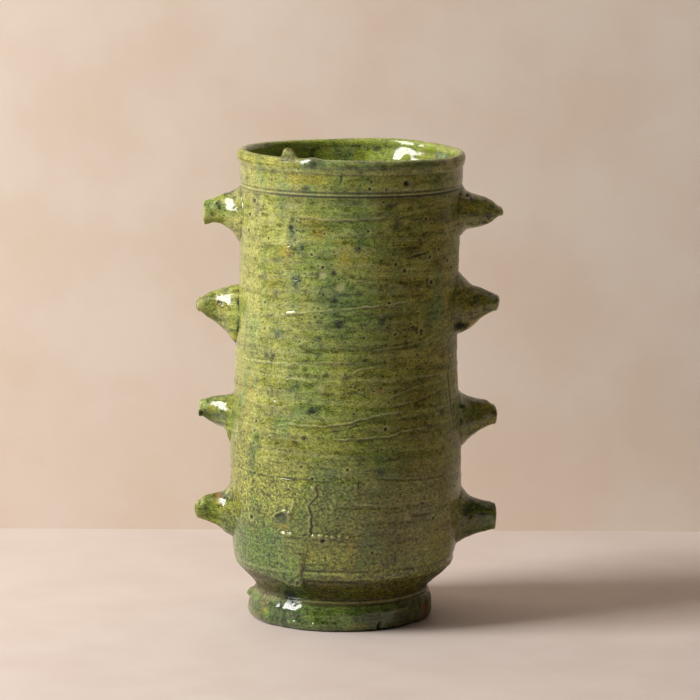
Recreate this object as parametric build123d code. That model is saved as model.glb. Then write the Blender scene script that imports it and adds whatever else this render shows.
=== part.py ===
from build123d import *
import os
from math import cos, radians, sin, sqrt

# A tall green-glazed pottery vase with two rows of four horns, one row on each side.
#
# Units are millimetres.  The foot stands on z = 0, centred on the origin, and the vase rises along +Z.
# It is put together as a potter does it: sections turned on the wheel and joined end to end, horns
# pulled by hand, and a layer of luting slip (liquid clay) in every joint.  Every turned section is
# round and level, but their centres don't line up: the body stands a little to the right (+X) of the
# foot, and its upper section has slumped further that way towards the rim.

# ---- Driving dimensions ------------------------------------------------------------------------------

WALL = 6.2                 # thickness of the turned walls
SLIP = 0.7                 # thickness of every layer of luting slip
LAP = 5.0                  # how far the inner half of a lapped joint stands up into the next section

BODY_X = 3.4               # the lower section's centre is this far to the right of the foot's
RIM_X = 6.5                # and the rim's this far

FLOOR_JOINT = 17.0         # height of the joint between the foot and the bowl
BOWL_JOINT = 40.0          # height of the joint between the bowl and the lower section
BODY_JOINT = 163.0         # height of the joint between the lower and the upper section
RIM_JOINT = 276.6          # height of the joint between the upper section and the rim collar
RIM_TOP = 300.3            # height of the rim's crest

FOOT_RADIUS = 59.0         # the foot's widest, at its rounded roll
FOOT_EDGE = 55.8           # radius of the face that the foot stands on
FOOT_BAND = 56.8           # bottom of the narrow band above the roll
WAIST = 55.5               # the narrow place between the foot and the bowl
RECESS_EDGE = 45.0         # radius of the recess under the foot, where it opens
RECESS_TOP = 41.5          # radius of the same recess at its top
FLOOR_THICKNESS = 8.5      # the bowl's floor
FLOOR_RADIUS = 46.0        # flat part of the floor inside

SHOULDER = 71.6            # radius where the bowl meets the lower section
BELLY = 74.0               # the body's widest
BELLY_HEIGHT = 97.0
BODY_MIDDLE = 70.8         # radius at the joint between the two body sections
BODY_TOP = 70.2            # radius of the upper section

GROOVE = 69.5              # bottom of the two grooves that frame the collar's bead
BEAD = 70.7                # the bead between them
NECK = 70.5                # the collar's hollow side
LIP = 72.6                 # the rolled lip's widest
CREST = 69.8               # radius of the rim's crest
MOUTH = 66.2               # inside radius at the lip

HORN_ROOT_WIDTH = 30.0     # a horn's width round the vase, at its root
HORN_TIP_WIDTH = 13.0
HORN_BURIED = 9.0          # a horn's blank starts this far inside the wall, and is cut to fit it
HORN_MIDDLE = 0.40         # where a horn's outline is given, as fractions of its reach
HORN_END = 0.85
HORN_STATIONS = [0.0, 0.16, 0.36, 0.60, 0.80, 0.92, 0.985]   # its sections, as fractions of the reach
HORN_ROUNDING = 0.74       # the tip starts to round over at this fraction

NUB_X = -33.0              # the small lump stuck on the front of the rim
NUB_RADIUS = 5.0
NUB_HEIGHT = 302.3


class Horn:
    """One horn: its side, how far behind the left-right line it points, its reach, and its outline.

    The top and the bottom line are each given as three heights: at the wall, and at two places along
    the reach (HORN_MIDDLE and HORN_END).
    """

    def __init__(self, name, side, turn, reach, top, bottom, bluntness):
        self.name = name
        self.side = side                      # -1 on the left, +1 on the right
        self.turn = turn                      # degrees
        self.reach = reach                    # from the wall
        self.top = top
        self.bottom = bottom
        self.bluntness = bluntness            # 2 is a round tip, more is blunter, less is more pointed


HORNS = [
    Horn("horn_left_1", -1, 2, 24.6, (276.0, 272.8, 267.3), (242.0, 249.8, 251.6), 4.0),
    Horn("horn_left_2", -1, 5, 28.0, (213.0, 210.3, 205.6), (176.0, 184.8, 194.0), 2.0),
    Horn("horn_left_3", -1, 3, 22.8, (144.5, 141.2, 139.2), (110.5, 121.3, 127.0), 4.0),
    Horn("horn_left_4", -1, -2, 24.0, (86.5, 79.5, 75.2), (50.5, 58.3, 62.7), 2.3),
    Horn("horn_right_1", 1, 0, 27.8, (276.0, 271.7, 265.4), (245.0, 250.8, 257.0), 1.7),
    Horn("horn_right_2", 1, -5, 27.3, (223.5, 214.2, 209.6), (183.0, 190.4, 197.3), 2.3),
    Horn("horn_right_3", 1, 7, 25.4, (146.5, 139.3, 136.2), (109.5, 116.5, 121.8), 2.6),
    Horn("horn_right_4", 1, 0, 24.8, (84.0, 76.3, 73.0), (45.5, 52.6, 55.3), 3.0),
]


# ---- Shared shapes -----------------------------------------------------------------------------------

def turned(centre_x, *runs):
    """A ring revolved about the vertical at centre_x, from an outline's runs of (radius, height).

    A run of two points is a straight line, a longer one a smooth curve.  The runs meet end to end.
    """
    edges = []
    for run in runs:
        points = [(radius, 0, height) for radius, height in run]
        edges.append(Line(*points) if len(points) == 2 else Spline(*points))
    return Pos(centre_x, 0, 0) * revolve(make_face(Wire(edges)), Axis.Z)


def drum(centre_x, radius, bottom, top):
    """An upright cylinder."""
    return Pos(centre_x, 0, (bottom + top) / 2) * Cylinder(radius, top - bottom)


def stack(levels, grow=0.0):
    """A solid through level circles, each (x of its centre, radius, height), grown all round if asked."""
    return loft([Pos(x, 0, height) * Circle(radius + grow) for x, radius, height in levels])


def wall(levels):
    """A wall of even thickness inside a stack of circles, open at both ends."""
    inside = [(x, radius - WALL, height) for x, radius, height in levels]
    (low_x, low_radius, bottom), (top_x, top_radius, top) = inside[0], inside[-1]
    over = 1.0
    hollow = stack(inside)
    hollow += drum(low_x, low_radius, bottom - over, bottom)
    hollow += drum(top_x, top_radius, top, top + over)
    return stack(levels) - hollow


class Joint:
    """A level joint between two turned pieces, with a layer of slip in it.

    Inside the middle radius the joint is higher by the lap, so the lower piece's inner half stands up
    into the upper one.
    """

    def __init__(self, centre_x, height, middle=0.0, lap=0.0):
        self.under = self.everything_above(centre_x, height - SLIP / 2, middle - SLIP / 2, lap)
        self.over = self.everything_above(centre_x, height + SLIP / 2, middle + SLIP / 2, lap)

    @staticmethod
    def everything_above(centre_x, height, middle, lap):
        solid = drum(centre_x, 2 * BELLY, height, 2 * RIM_TOP)
        if lap > 0:
            solid -= drum(centre_x, middle, height - 1, height + lap)
        return solid

    def lower_piece(self, blank):
        return blank - self.under

    def upper_piece(self, blank):
        return blank & self.over

    def slip(self, blank):
        return (blank & self.under) - self.over


# ---- Turned sections, each a little longer than its joints leave it -----------------------------------

def foot_blank():
    """The foot ring: a rounded roll under a narrow band, hollow underneath."""
    top = FLOOR_JOINT + 2
    band_bottom = 12.6
    return turned(
        0,
        [(RECESS_EDGE, 0), (FOOT_EDGE, 0)],
        [(FOOT_EDGE, 0), (FOOT_RADIUS, 6.8), (FOOT_BAND, band_bottom)],
        [(FOOT_BAND, band_bottom), (WAIST, top)],
        [(WAIST, top), (RECESS_TOP, top)],
        [(RECESS_TOP, top), (RECESS_EDGE, 0)],
    )


def bowl_blank():
    """The flared bowl with the vase's floor.  It leads from the foot's centre to the body's."""
    bottom = FLOOR_JOINT - 2
    floor_top = FLOOR_JOINT + FLOOR_THICKNESS
    top = BOWL_JOINT + LAP + 3
    outside = [
        (0.6, WAIST - 0.6, bottom),
        (1.4, 60.8, 24.0),
        (2.4, 67.8, 32.0),
        (BODY_X, SHOULDER, BOWL_JOINT),
        (BODY_X, SHOULDER + 0.6, top),
    ]
    inside = [
        (1.4, FLOOR_RADIUS, floor_top),
        (2.4, 59.0, 32.0),
        (BODY_X, SHOULDER - WALL, BOWL_JOINT),
        (BODY_X, SHOULDER - WALL + 0.6, top + 1),
    ]
    return stack(outside) - stack(inside)


def lower_levels():
    """The lower body section: a slightly swollen cylinder."""
    return [
        (BODY_X, SHOULDER - 0.3, BOWL_JOINT - 2),
        (BODY_X, 73.1, 60),
        (BODY_X, BELLY, BELLY_HEIGHT),
        (BODY_X, 72.5, 133),
        (BODY_X, BODY_MIDDLE, BODY_JOINT),
        (BODY_X, BODY_MIDDLE - 0.1, BODY_JOINT + LAP + 3),
    ]


def upper_levels():
    """The upper body section: nearly straight, and drawn in at the groove under the rim."""
    return [
        (BODY_X, BODY_MIDDLE, BODY_JOINT - 2),
        (4.2, BODY_TOP, 190),
        (5.4, BODY_TOP, 230),
        (6.1, BODY_TOP, 262),
        (RIM_X, GROOVE, RIM_JOINT),
        (RIM_X, GROOVE, RIM_JOINT + LAP + 3),
    ]


def collar_blank():
    """The rim collar: a bead between two grooves, a hollow side, and a rolled lip."""
    bottom = RIM_JOINT - 2
    groove_top = RIM_JOINT + 0.4
    neck_bottom = RIM_JOINT + 3.0
    lip_bottom = RIM_JOINT + 14.5
    lip_height = RIM_TOP - 4.8
    inner = GROOVE - WALL
    return turned(
        RIM_X,
        [(inner, bottom), (GROOVE, bottom)],
        [(GROOVE, bottom), (GROOVE, groove_top)],
        [(GROOVE, groove_top), (BEAD, groove_top + 1.2), (GROOVE + 0.3, neck_bottom)],
        [(GROOVE + 0.3, neck_bottom), (NECK, neck_bottom + 3), (71.4, lip_bottom)],
        [(71.4, lip_bottom), (LIP, lip_height), (CREST, RIM_TOP), (MOUTH, lip_height)],
        [(MOUTH, lip_height), (inner, bottom)],
    )


# ---- Horns and the rim's nub -------------------------------------------------------------------------

def height_at(line, part):
    """Height of a horn's top or bottom line at a fraction of its reach: a parabola through its heights."""
    root, middle, end = line
    to_middle = (middle - root) / HORN_MIDDLE
    to_end = (end - root) / HORN_END
    bend = (to_end - to_middle) / (HORN_END - HORN_MIDDLE)
    return root + part * (to_middle + bend * (part - HORN_MIDDLE))


def horn_size(horn, part):
    """Half width, half height and middle height of a horn at a fraction of its reach."""
    top = height_at(horn.top, part)
    bottom = height_at(horn.bottom, part)
    half_width = (HORN_TIP_WIDTH + (HORN_ROOT_WIDTH - HORN_TIP_WIDTH) * (1 - part) ** 2) / 2
    rounding = 1.0
    if part > HORN_ROUNDING:
        past = (part - HORN_ROUNDING) / (1 - HORN_ROUNDING)
        rounding = (1 - past ** horn.bluntness) ** (1 / horn.bluntness)
    return half_width * rounding, (top - bottom) / 2 * rounding, (top + bottom) / 2


def horn_blank(horn, wall_x, wall_radius):
    """The horn before it is cut to fit the wall: ellipses across a level line, out from the axis."""
    turn = radians(horn.turn)
    out = Vector(horn.side * cos(turn), sin(turn), 0)
    distances = [-HORN_BURIED] + [part * horn.reach for part in HORN_STATIONS]
    parts = [0.0] + HORN_STATIONS
    sections = []
    for distance, part in zip(distances, parts):
        half_width, half_height, middle = horn_size(horn, part)
        along = wall_radius + distance
        plane = Plane(
            origin=(wall_x + out.X * along, out.Y * along, middle),
            x_dir=(-out.Y, out.X, 0),
            z_dir=out,
        )
        sections.append(plane * Ellipse(half_width, half_height))
    return loft(sections)


def horn_and_slip(horn):
    """A horn cut to the wall it stands on, and the slip between them."""
    tip_height = (horn.top[-1] + horn.bottom[-1]) / 2
    levels = upper_levels() if tip_height > BODY_JOINT else lower_levels()
    wall_x, wall_radius, _ = min(levels, key=lambda level: abs(level[2] - tip_height))
    blank = horn_blank(horn, wall_x, wall_radius)
    bare_wall = stack(levels)
    slipped_wall = stack(levels, grow=SLIP)
    return blank - slipped_wall, (blank & slipped_wall) - bare_wall


def rim_nub(collar):
    """The lump on the rim: a small ball pressed down onto the crest."""
    y = -sqrt(CREST ** 2 - (NUB_X - RIM_X) ** 2)
    return Pos(NUB_X, y, NUB_HEIGHT) * Sphere(NUB_RADIUS) - collar


# ---- The pieces --------------------------------------------------------------------------------------

def build_vase():
    foot_joint = Joint(0, FLOOR_JOINT)
    bowl_joint = Joint(BODY_X, BOWL_JOINT, SHOULDER - WALL / 2, LAP)
    body_joint = Joint(BODY_X, BODY_JOINT, BODY_MIDDLE - WALL / 2, LAP)
    rim_joint = Joint(RIM_X, RIM_JOINT, GROOVE - WALL / 2, LAP)

    foot = foot_blank()
    bowl = bowl_blank()
    lower = wall(lower_levels())
    upper = wall(upper_levels())
    collar = collar_blank()

    pieces = {
        "foot_ring": foot_joint.lower_piece(foot),
        "slip_foot": foot_joint.slip(foot),
        "lower_bowl": bowl_joint.lower_piece(foot_joint.upper_piece(bowl)),
        "slip_bowl": bowl_joint.slip(bowl),
        "body_lower": body_joint.lower_piece(bowl_joint.upper_piece(lower)),
        "slip_body": body_joint.slip(lower),
        "body_upper": rim_joint.lower_piece(body_joint.upper_piece(upper)),
        "slip_rim": rim_joint.slip(upper),
        "rim_collar": rim_joint.upper_piece(collar),
    }
    for horn in HORNS:
        pieces[horn.name], pieces["slip_" + horn.name] = horn_and_slip(horn)
    pieces["rim_nub"] = rim_nub(pieces["rim_collar"])
    return pieces


os.makedirs("parts", exist_ok=True)
for node, piece in build_vase().items():
    piece.label = node
    export_step(piece, "parts/" + node + ".step")
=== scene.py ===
from math import asin, atan2, cos, degrees, pi, radians, sin

import bpy
import numpy as np
from mathutils import Matrix, Vector


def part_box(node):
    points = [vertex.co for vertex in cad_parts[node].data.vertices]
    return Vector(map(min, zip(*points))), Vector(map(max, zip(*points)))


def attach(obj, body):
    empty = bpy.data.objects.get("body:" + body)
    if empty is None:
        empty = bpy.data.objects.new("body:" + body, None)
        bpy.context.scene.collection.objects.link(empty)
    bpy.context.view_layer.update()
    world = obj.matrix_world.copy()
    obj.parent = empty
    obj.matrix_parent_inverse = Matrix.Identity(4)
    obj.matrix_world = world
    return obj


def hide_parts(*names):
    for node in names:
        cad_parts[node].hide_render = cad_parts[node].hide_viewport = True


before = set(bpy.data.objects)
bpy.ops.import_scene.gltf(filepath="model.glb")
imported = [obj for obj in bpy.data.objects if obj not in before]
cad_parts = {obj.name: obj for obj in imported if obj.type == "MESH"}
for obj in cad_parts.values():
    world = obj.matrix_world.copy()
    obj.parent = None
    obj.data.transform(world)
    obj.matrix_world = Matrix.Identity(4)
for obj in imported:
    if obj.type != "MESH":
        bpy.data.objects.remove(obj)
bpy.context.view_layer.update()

# The looks of the green-glazed pottery vase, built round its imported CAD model.
#
# Sizes are in millimetres until a mesh is made, and angles round the vase are in degrees from the
# front (-Y), positive towards the right (+X).  Every piece of the vase is a closed mesh of its own.
# The turned pieces share one outer and one inner skin, so the glaze runs on across their joints.

MM = 0.001
WALL = 6.2                       # thickness of the turned walls
GLAZE_COVER = 1.2                # the glaze hides the slip in a joint to this depth
COLUMNS = 372                    # points round the turned pieces, closer together at the front
SLIP_COLUMNS = 160               # and round the slip in their joints
FRONT_DENSITY = 0.50
ROW_STEP = 0.56                  # height between the rows of points on the body


class Turned:
    """Centre, radius and heights of a CAD node that was turned on the wheel."""

    def __init__(self, node):
        low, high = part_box(node)
        self.x = (low.x + high.x) / 2 / MM
        self.radius = (high.x - low.x) / 2 / MM
        self.bottom = low.z / MM
        self.top = high.z / MM
        self.middle = (self.bottom + self.top) / 2


foot = Turned("foot_ring")
waist = Turned("slip_foot")
shoulder = Turned("slip_bowl")
belt = Turned("slip_body")
groove = Turned("slip_rim")
belly = Turned("body_lower")
lip = Turned("rim_collar")

SLIP = waist.top - waist.bottom
LAP = shoulder.top - shoulder.bottom - SLIP
FOOT_JOINT = waist.middle
BOWL_JOINT = shoulder.bottom + SLIP / 2
BODY_JOINT = belt.bottom + SLIP / 2
RIM_JOINT = groove.bottom + SLIP / 2
CREST = lip.top - 0.2

# ---- Curves and noise --------------------------------------------------------------------------------


def smooth_curve(knots, at):
    """Reads a smooth curve through (x, y) knots, without overshoot, and level beyond its ends."""
    x, y = np.array(knots, float).T
    step = np.diff(x)
    slope = np.diff(y) / step
    tangent = np.concatenate([slope[:1], np.zeros(len(x) - 2), slope[-1:]])
    before, after = slope[:-1], slope[1:]
    bends = before * after > 0
    total = np.where(bends, before + after, 1)
    tangent[1:-1] = np.where(bends, 2 * before * after / total, 0)
    at = np.clip(at, x[0], x[-1])
    i = np.clip(np.searchsorted(x, at) - 1, 0, len(step) - 1)
    t = (at - x[i]) / step[i]
    rise = y[i + 1] - y[i]
    first = tangent[i] * step[i]
    last = tangent[i + 1] * step[i]
    return y[i] + t * (first + t * (3 * rise - 2 * first - last + t * (first + last - 2 * rise)))


def fade(value, start, end):
    """0 before start, 1 after end, smooth between."""
    t = np.clip((value - start) / (end - start), 0, 1)
    return t * t * (3 - 2 * t)


def hump(value, width):
    return np.exp(-(value / width) ** 2)


class Noise:
    """Smooth noise between about -1 and 1, read at points in space."""

    CELLS = 48

    def __init__(self, seed):
        self.table = np.random.default_rng(seed).uniform(-1, 1, (self.CELLS,) * 3)

    def __call__(self, points, size):
        scaled = points / np.array(size, float)
        cell = np.floor(scaled).astype(int)
        t = scaled - cell
        t = t * t * (3 - 2 * t)
        total = np.zeros(points.shape[:-1])
        for corner in np.ndindex(2, 2, 2):
            weight = np.ones(points.shape[:-1])
            for axis, side in enumerate(corner):
                weight = weight * (t[..., axis] if side else 1 - t[..., axis])
            x, y, z = np.moveaxis((cell + corner) % self.CELLS, -1, 0)
            total += weight * self.table[x, y, z]
        return total * 1.5

    def rough(self, points, size, octaves=4):
        """Several sizes of the same noise added up, each half as large and half as strong."""
        total = np.zeros(points.shape[:-1])
        for octave in range(octaves):
            moved = points + 17.3 * octave
            total += self(moved, np.array(size, float) / 2 ** octave) / 2 ** octave
        return total / 1.6


lumps = Noise(11)
patches = Noise(23)
edges = Noise(37)

# ---- The vase's skins: radius, relief and marks at any angle and height -------------------------------

# Where the skin's centre is, as (height, x).
CENTRES = [
    (0, foot.x - 0.6), (13, 0), (21, 1), (26, 1.6), (33, 2.1), (BOWL_JOINT + 3, shoulder.x - 1.2),
    (60, shoulder.x), (BODY_JOINT, belt.x), (190, 4.2), (230, 5.4), (262, 6.1), (RIM_JOINT, groove.x),
    (CREST, lip.x),
]


def outline(*parts):
    """(height, radius) knots from turned pieces, each with (height, distance out from its radius)."""
    return [(height, piece.radius + out) for piece, knots in parts for height, out in knots]


OUTSIDE = outline(
    (foot, [(0, -2.6), (0.8, -1.5), (2.4, -0.5), (4.4, 0), (7, 0), (9.8, 0), (12.4, -0.2), (14.2, -0.9),
            (16.3, -2.1)]),
    (waist, [(18.3, -0.1), (19.6, -1), (20.8, -0.7), (22.9, 1), (25.5, 3.4), (30.6, 8.7)]),
    (shoulder, [(33.2, -4.5), (35.8, -2.2), (38.3, -1.4), (BOWL_JOINT, -1), (45, -0.2)]),
    (belly, [(60, -1.1), (88, 0), (106, -0.1), (133, -1.6)]),
    (belt, [(BODY_JOINT, 0), (190, -0.7), (235, -0.9), (262, -0.9)]),
    (groove, [(273, 0.4), (RIM_JOINT - 0.6, 0.35), (RIM_JOINT + 0.5, 0.35), (RIM_JOINT + 1.8, 0.8),
              (RIM_JOINT + 3, 0.75), (RIM_JOINT + 4.3, 1.1), (RIM_JOINT + 8, 1.3)]),
    (lip, [(RIM_JOINT + 14, -1.9), (CREST - 8, -1.1), (CREST - 4.6, -0.1)]),
)
FLOOR_TOP = FOOT_JOINT + 8.5
FLOOR_RADIUS = 46.0
INSIDE = [(FLOOR_TOP, FLOOR_RADIUS), (FLOOR_TOP + 1.4, FLOOR_RADIUS + 5), (32, 59)] + outline(
    (shoulder, [(BOWL_JOINT, -WALL)]),
    (belly, [(60, -0.9 - WALL), (97, -WALL)]),
    (belt, [(BODY_JOINT, -WALL), (190, -0.6 - WALL), (262, -0.6 - WALL)]),
    (groove, [(RIM_JOINT, -WALL)]),
    (lip, [(CREST - 4.3, -0.2 - WALL)]),
)
LIP_HEIGHT = CREST - 4.4         # the lip rolls over from here to the same height inside

# Thin ridges left by the potter's fingers: height, half width, and (angle, height) along them.
RIDGES = [
    (0.16, 0.8, [(-62, 265.6), (-3, 263.4), (20, 265), (46, 269.6)]),
    (0.34, 0.6, [(-37, 202.4), (-15, 206.1), (-2, 207.7), (22, 210.3), (31, 211.6)]),
    (0.3, 0.7, [(-65, 170.2), (-52, 171), (-38, 171.8), (-24, 172.6)]),
    (0.22, 0.6, [(-17, 173.6), (0, 174.5)]),
    (0.3, 0.5, [(3, 166.8), (8, 170), (19, 171.8)]),
    (0.2, 0.7, [(14, 182), (36, 184.5), (52, 189)]),
    (0.42, 0.55, [(-30, 134), (-12, 134.2), (0, 136.4), (10, 139.4), (20, 141.6), (28, 142.6)]),
    (0.32, 0.5, [(-4, 126), (15, 127.3), (25, 127.9), (29, 130), (42, 130.9)]),
    (0.18, 0.8, [(22, 152), (40, 157), (55, 158)]),
    (0.2, 0.8, [(5, 84.8), (25, 83.6), (48, 84)]),
    (0.3, 0.6, [(40, 53), (58, 52), (76, 52.4)]),
    (0.16, 0.8, [(5, 236), (30, 232), (50, 231)]),
    (0.18, 0.8, [(0, 226), (24, 222), (40, 219)]),
    (0.16, 0.8, [(-62, 146), (-45, 144), (-30, 144.5)]),
]
# Scored lines: depth, half width, darkness, and (angle, height) along them.
SCORES = [
    (0.3, 0.6, 0.55, [(-67, 101.2), (-46, 99.6), (-28, 100), (-6, 99)]),
    (0.5, 0.7, 1, [(32.5, 239), (42.5, 241)]),
    (0.4, 0.8, 0.7, [(-9, 130.4), (-3, 131.4), (5, 134.6)]),
    (0.2, 0.7, 0.35, [(-40, 264), (-3, 262), (12, 262.6), (30, 264)]),
    (0.3, 0.7, 0.5, [(24, 145), (40, 148), (58, 152)]),
    (0.25, 0.8, 0.4, [(30, 76.5), (46, 75.5), (60, 76.5)]),
    (0.25, 0.7, 0.5, [(16, 101), (34, 98.5), (54, 98)]),
    (0.25, 0.8, 0.35, [(-20, 58.5), (4, 58), (30, 59.5)]),
]
# Upright cracks and seams: depth, half width, darkness, and (height, angle) along them.
SEAMS = [
    (0.5, 0.8, 1, [(124, 70), (139, 67.5), (151, 65.4), (166, 65)]),
    (0.4, 0.8, 0.7, [(96, 78.5), (108, 77), (122, 76)]),
    (0.3, 0.5, 0.8, [(286.6, -5.6), (291.6, -5.3)]),
    (0.15, 0.5, 0.45, [(168, -42), (183, -42)]),
]
# The right edge of the clay flap low on the front, as (height, angle).
FLAP = [
    (31, -29), (35, -25.5), (39, -21), (43, -19.6), (50, -19.4), (58, -18), (66, -17.2), (77, -16.6),
    (83.4, -17.9), (87, -15.6), (90.6, -13.4), (93.6, -14.2), (96, -14.2),
]
# The glaze's ledge across the flap, as (angle, height); the angles of the runs below it; and the drops
# that hang on it, as (angle, half width, half height).
LEDGE = [(-33, 63.4), (-22, 64.4), (-15, 63.6), (8, 64)]
RUNS = (-33, -28, -23.5)
DROPS = [
    (-31.5, 2.6, 0.9), (-27.6, 1.4, 0.8), (-15.6, 1.7, 1), (-12.2, 2.3, 1.1), (-9, 1.1, 0.8), (-6.2, 2, 1),
    (-2.6, 1.2, 0.8), (1.2, 0.9, 0.7),
]
# The hem of the body over the bowl, as (angle, height), and the (height, depth) of the ledges near it.
HEM = [
    (-180, 37.2), (-120, 38), (-62, 38), (-47, 37.8), (-35, 36), (-27, 33.6), (-23, 33.4), (-21, 38),
    (60, 37.6), (180, 37.2),
]
TIERS = ((41.4, 0.8), (35, 0.9))
# Chips in the foot: what shows in them, angle, height, half width and half height, depth.
CHIPS = [
    ("clay", 68, 6.5, 4.2, 4.6, 1.8), ("clay", 58, 0, 4.5, 2, 1.4), ("dark", 26.5, 2.6, 1.6, 3.4, 1.3),
    ("clay", -150, 1, 5, 3, 1.2),
]
# Blots of colour of each kind: angle, height, half width and half height in millimetres, strength.
BLOTS_OF = {
    "dark": [
        (-32, 257, 1.6, 1.8, 0.9), (-29, 250, 1.2, 1.4, 0.7), (-29, 244, 1.4, 1.2, 0.7),
        (-25, 245, 1.1, 1.2, 0.7), (-30, 225, 1.5, 1.5, 0.8), (-23, 218, 1.5, 1.5, 0.7),
        (-38, 190, 2, 1.4, 0.7), (-8, 230, 2.2, 2, 1), (-7, 213, 2, 2, 0.9), (-5, 198, 3.4, 2.6, 1),
        (-14, 189, 1.6, 1.6, 0.7), (-24, 282, 2.4, 1.6, 0.8), (2, 274, 2.2, 1.4, 0.7),
        (21, 272, 3.4, 1.6, 1), (15, 267, 1.6, 1.2, 0.8), (4, 245, 2, 1.6, 0.8), (24, 259, 3, 3, 0.7),
        (18, 200, 2, 2, 0.8), (31, 184, 2, 2.4, 0.8), (-10, 166, 2, 1.6, 0.8), (0, 164, 2.2, 2, 0.7),
        (-21, 169, 1.8, 1.8, 0.6), (-46, 176, 1.6, 1.4, 0.8), (-41, 176, 1.4, 1.8, 0.8),
        (-17, 143, 1.6, 1.4, 0.6), (17, 105, 4, 2.6, 0.8), (57, 138, 2.4, 3, 0.8), (-21, 126, 1.6, 1.6, 1),
        (-33, 20, 3.6, 8, 1), (-36, 8, 2.4, 9, 0.7), (70, 8, 3, 6, 0.6), (17.5, 157.6, 1.3, 0.9, 1),
    ],
    "teal": [
        (-31, 252, 3, 9, 1), (-27, 244, 3.5, 3.5, 1), (-28, 223, 5, 5, 0.9), (-41, 215, 3, 4, 0.7),
        (-49, 225, 2, 4, 0.7), (-57, 269, 2.2, 8, 0.8), (-38, 190, 4, 4, 0.8), (-10, 210, 12, 22, 0.55),
        (-5, 192, 6, 6, 0.8), (-14, 188, 3.5, 3.5, 0.7), (18, 199, 4, 5, 0.8), (-44, 175, 5, 3.6, 0.7),
        (-54, 159, 3, 4, 0.8), (-26, 158, 4, 5, 0.6), (-17, 143, 6, 4, 0.7), (-66, 186, 2, 9, 0.7),
        (-68, 126, 2, 10, 0.7), (-7, 106, 4.5, 3, 0.8), (-43, 11, 5, 7, 0.9), (-27, 8, 6, 7, 0.7),
        (-75, 14, 4, 3, 0.5),
    ],
    "ochre": [
        (-2, 239, 2.2, 5, 0.8), (-21, 262, 7, 4, 0.6), (-17, 254, 6, 5, 0.6), (-35, 242, 6, 4, 0.6),
        (-24, 288, 16, 4, 0.6), (3, 60, 1.8, 9, 0.8), (50, 61, 5, 6, 0.8), (4, 44, 2, 5, 0.6),
        (-55, 12, 2.6, 6, 1), (-66, 4, 5, 3, 0.6), (12, 4, 8, 3, 0.5),
    ],
    "green": [
        (52, 205, 5, 13, 0.9), (-42, 56, 20, 15, 0.95), (-21, 74, 4.5, 10, 0.8), (-27, 44, 7, 12, 0.5),
        (5, 250, 10, 10, 0.3), (12, 140, 16, 6, 0.5),
    ],
    "purple": [
        (-52, 31, 20, 7, 0.9), (13, 161, 3, 3, 0.6), (44, 126, 4, 5, 0.5), (19, 78, 3.5, 2, 0.6),
        (-33, 271, 9, 4.5, 0.35),
    ],
    "pale": [
        (-14, 228, 2.4, 2.2, 0.9), (-4, 221, 2.6, 2.6, 0.8), (-44, 262, 3, 2, 0.5), (-13, 157, 3, 3, 0.4),
    ],
    "clay": [
        (17, 155.6, 1.9, 1.1, 1),
    ],
}
BLOTS = [(kind, *blot) for kind, blots in BLOTS_OF.items() for blot in blots]
# Pinholes burst in the glaze: angle, height, radius.
PINHOLES = [
    (28.6, 285.5, 2.2), (-47, 249, 0.9), (-52, 243, 0.8), (-20, 241, 0.9), (-17, 202, 0.9),
    (-25, 186, 0.8), (-31, 163, 0.7), (-52, 127, 0.9), (-46, 123, 0.9), (-41, 124, 0.8), (-52, 119, 0.8),
    (9, 256, 0.9), (24, 235, 1), (29, 231, 1.2), (47, 222, 1.4), (52, 242, 1.1), (61, 234, 1.3),
    (66, 229, 1.2), (58, 251, 1.1), (45, 238, 1.2), (41, 192, 1.2), (25, 191, 0.9), (39, 177, 0.9),
    (-54, 71, 1.4), (1, 107, 0.9), (49, 72, 1), (41, 83, 0.8), (-61, 271, 1.8), (-11, 61.4, 1.6),
    (20, 132, 1.2), (-65, 262, 1.4), (-66, 252, 1.3), (19.4, 30.4, 0.9), (-24, 33, 1), (62, 149, 1),
    (10, 287, 0.8),
]


def random_marks():
    """More of the same all round the vase: finger ridges, blots and pinholes, thinner at the front."""
    draw = np.random.default_rng(5)
    ridges, blots, pinholes = [], [], []
    for _ in range(22):
        middle, height = draw.uniform(75, 285), draw.uniform(48, 268)
        length, rise = draw.uniform(15, 40), draw.uniform(-2, 4)
        line = [(middle - length, height), (middle, height + 0.3 * rise), (middle + length, height + rise)]
        ridges.append((draw.uniform(0.15, 0.45), draw.uniform(0.5, 0.8), line))
    for _ in range(150):
        kind = draw.choice(["teal", "teal", "dark", "ochre", "green", "pale"])
        angle, height = draw.uniform(-180, 180), draw.uniform(4, 296)
        usual = {"teal": 4.0, "dark": 1.4, "ochre": 4.5, "green": 11.0, "pale": 1.6}[kind]
        size = usual * draw.uniform(0.6, 1.4)
        tall = draw.uniform(0.8, 1.8)
        strength = draw.uniform(0.4, 0.9) * (0.5 if abs(angle) < 70 else 1)
        blots.append((kind, angle, height, size, size * tall, strength))
    for _ in range(150):
        pinholes.append((draw.uniform(-180, 180), draw.uniform(3, 297), draw.uniform(0.5, 1.0)))
    return ridges, blots, pinholes


MORE_RIDGES, MORE_BLOTS, MORE_PINHOLES = random_marks()


def round_wall(phi, z):
    """Points on a plain cylinder, where the noises are read, so that they join up behind."""
    arc_radius = belt.radius
    return np.stack([arc_radius * np.sin(phi), -arc_radius * np.cos(phi), z], -1)


def from_angle(phi, angle):
    """Degrees from an angle round the vase, between -180 and 180."""
    return (np.degrees(phi) - angle + 180) % 360 - 180


def in_mm(turn):
    return np.radians(turn) * belt.radius


def level_line(phi, z, line, ends=3.0):
    """Height above a line that runs round the vase, and how present the line is at this angle."""
    middle = (line[0][0] + line[-1][0]) / 2
    half = (line[-1][0] - line[0][0]) / 2
    turn = from_angle(phi, middle)
    height = smooth_curve([(angle - middle, value) for angle, value in line], turn)
    return z - height, fade(half + ends - abs(turn), 0, 2 * ends)


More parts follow.
